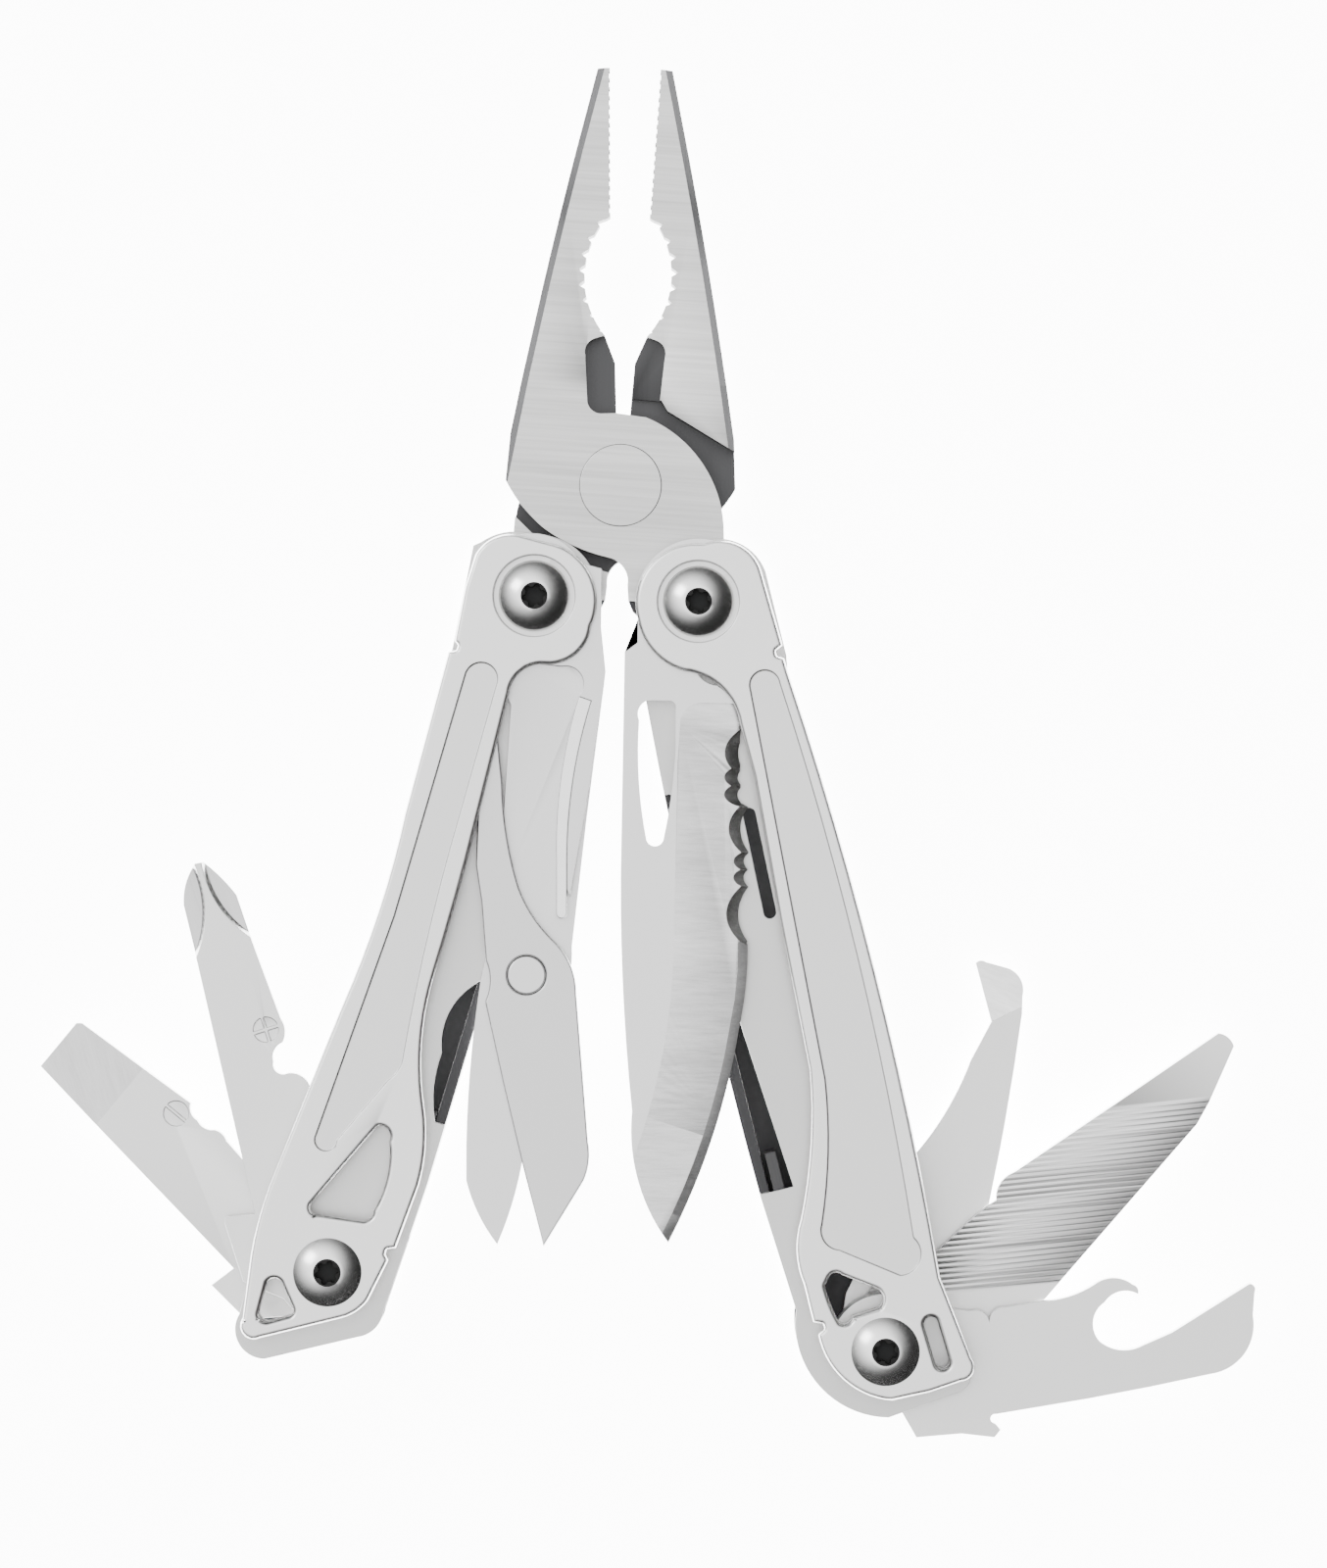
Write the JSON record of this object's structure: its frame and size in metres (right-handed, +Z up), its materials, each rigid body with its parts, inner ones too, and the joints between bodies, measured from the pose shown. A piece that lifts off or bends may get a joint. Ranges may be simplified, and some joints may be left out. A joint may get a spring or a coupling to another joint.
{
  "type": "multi tool",
  "caption": "Folding pocket multi tool: needle-nose pliers whose hollow handles carry a part-serrated knife, scissors, screwdrivers, file, package opener and can opener.",
  "frame": {"origin": "middle of the tool's outline on the surface it lies on, opened out", "axes": "+Y towards the jaw tips, +X to the file and can opener side, +Z up through the front covers"},
  "size_m": [0.1348, 0.1498, 0.0169],
  "materials": {
    "jaw_steel": "cross-brushed stainless steel",
    "satin_sheet": "satin bead-blasted stainless sheet",
    "blade_steel": "fine satin stainless steel, ground edges",
    "tool_steel": "satin stainless steel",
    "polished_screw": "turned and polished stainless steel",
    "dark_spring_steel": "dark heat-treated spring steel",
    "washer_steel": "plain steel"
  },
  "bodies": {
    "left_jaw_body": {"left_jaw": "jaw_steel", "jaw_rivet": "jaw_steel", "right_tang_spring": "dark_spring_steel"},
    "right_jaw_body": {"right_jaw": "jaw_steel", "left_tang_spring": "dark_spring_steel"},
    "knife": {"right_pivot_bush": "washer_steel", "knife_blade": "blade_steel"},
    "right_handle": {"right_cover": "satin_sheet", "right_channel": "satin_sheet", "right_top_screw": "polished_screw", "right_end_screw": "polished_screw", "right_top_nut": "polished_screw", "right_end_nut": "polished_screw", "right_back_spring": "dark_spring_steel", "right_spacer_1": "washer_steel", "right_spacer_2": "washer_steel", "right_spacer_3": "washer_steel"},
    "left_bush": {"left_pivot_bush": "washer_steel"},
    "scissors": {"scissors_base": "blade_steel", "scissors_rivet": "blade_steel", "scissors_spring": "blade_steel"},
    "scissors_lever_body": {"scissors_lever": "blade_steel"},
    "left_handle": {"left_cover": "satin_sheet", "left_channel": "satin_sheet", "left_top_screw": "polished_screw", "left_end_screw": "polished_screw", "left_top_nut": "polished_screw", "left_end_nut": "polished_screw", "left_back_spring": "dark_spring_steel", "left_spacer_1": "washer_steel", "left_spacer_2": "washer_steel"},
    "phillips": {"phillips_driver": "tool_steel"},
    "flat_screwdriver": {"flat_driver": "tool_steel"},
    "package_opener_body": {"package_opener": "tool_steel"},
    "file_body": {"file": "tool_steel"},
    "can_opener_body": {"can_opener": "tool_steel"}
  },
  "joints": [
    {"name": "pliers", "type": "hinge", "parent": "left_jaw_body", "child": "right_jaw_body", "pos_m": [-0.00558, 0.02881, 0], "axis": [0, 0, -1], "range_deg": [-6.7, 8], "stiffness_Nm_per_rad": 0.4},
    {"name": "right_handle_fold", "type": "hinge", "parent": "left_jaw_body", "child": "knife", "pos_m": [0.00342, 0.01622, 0], "axis": [0, 0, 1], "range_deg": [0, 169]},
    {"name": "knife_open", "type": "hinge", "parent": "knife", "child": "right_handle", "pos_m": [0.00342, 0.01622, 0], "axis": [0, 0, -1], "range_deg": [-163, 14]},
    {"name": "left_handle_fold", "type": "hinge", "parent": "right_jaw_body", "child": "left_bush", "pos_m": [-0.01458, 0.01622, 0], "axis": [0, 0, -1], "range_deg": [0, 166]},
    {"name": "scissors_open", "type": "hinge", "parent": "left_bush", "child": "left_handle", "pos_m": [-0.01458, 0.01622, 0], "axis": [0, 0, 1], "range_deg": [-160, 14]},
    {"name": "scissors_follow_jaw", "type": "hinge", "parent": "left_bush", "child": "scissors", "pos_m": [-0.01458, 0.01622, 0], "axis": [0, 0, 1], "range_deg": [-12, 12]},
    {"name": "scissors_squeeze", "type": "hinge", "parent": "scissors", "child": "scissors_lever_body", "pos_m": [-0.01398, -0.02539, 0], "axis": [0, 0, -1], "range_deg": [0, 13], "stiffness_Nm_per_rad": 0.02},
    {"name": "phillips_fold", "type": "hinge", "parent": "left_handle", "child": "phillips", "pos_m": [-0.03464, -0.05864, 0], "axis": [0, 0, 1], "range_deg": [-34.7, 145.3]},
    {"name": "flat_driver_fold", "type": "hinge", "parent": "left_handle", "child": "flat_screwdriver", "pos_m": [-0.03464, -0.05864, 0], "axis": [0, 0, 1], "range_deg": [-67.3, 112.7]},
    {"name": "package_opener_fold", "type": "hinge", "parent": "right_handle", "child": "package_opener_body", "pos_m": [0.02677, -0.0652, 0], "axis": [0, 0, -1], "range_deg": [-33.8, 146.2]},
    {"name": "file_fold", "type": "hinge", "parent": "right_handle", "child": "file_body", "pos_m": [0.02677, -0.0652, 0], "axis": [0, 0, -1], "range_deg": [-62.2, 117.8]},
    {"name": "can_opener_fold", "type": "hinge", "parent": "right_handle", "child": "can_opener_body", "pos_m": [0.02677, -0.0652, 0], "axis": [0, 0, -1], "range_deg": [-98.1, 85.4]}
  ],
  "couplings": [
    {"joint": "scissors_follow_jaw", "follows": "pliers", "ratio": 1.2}
  ]
}
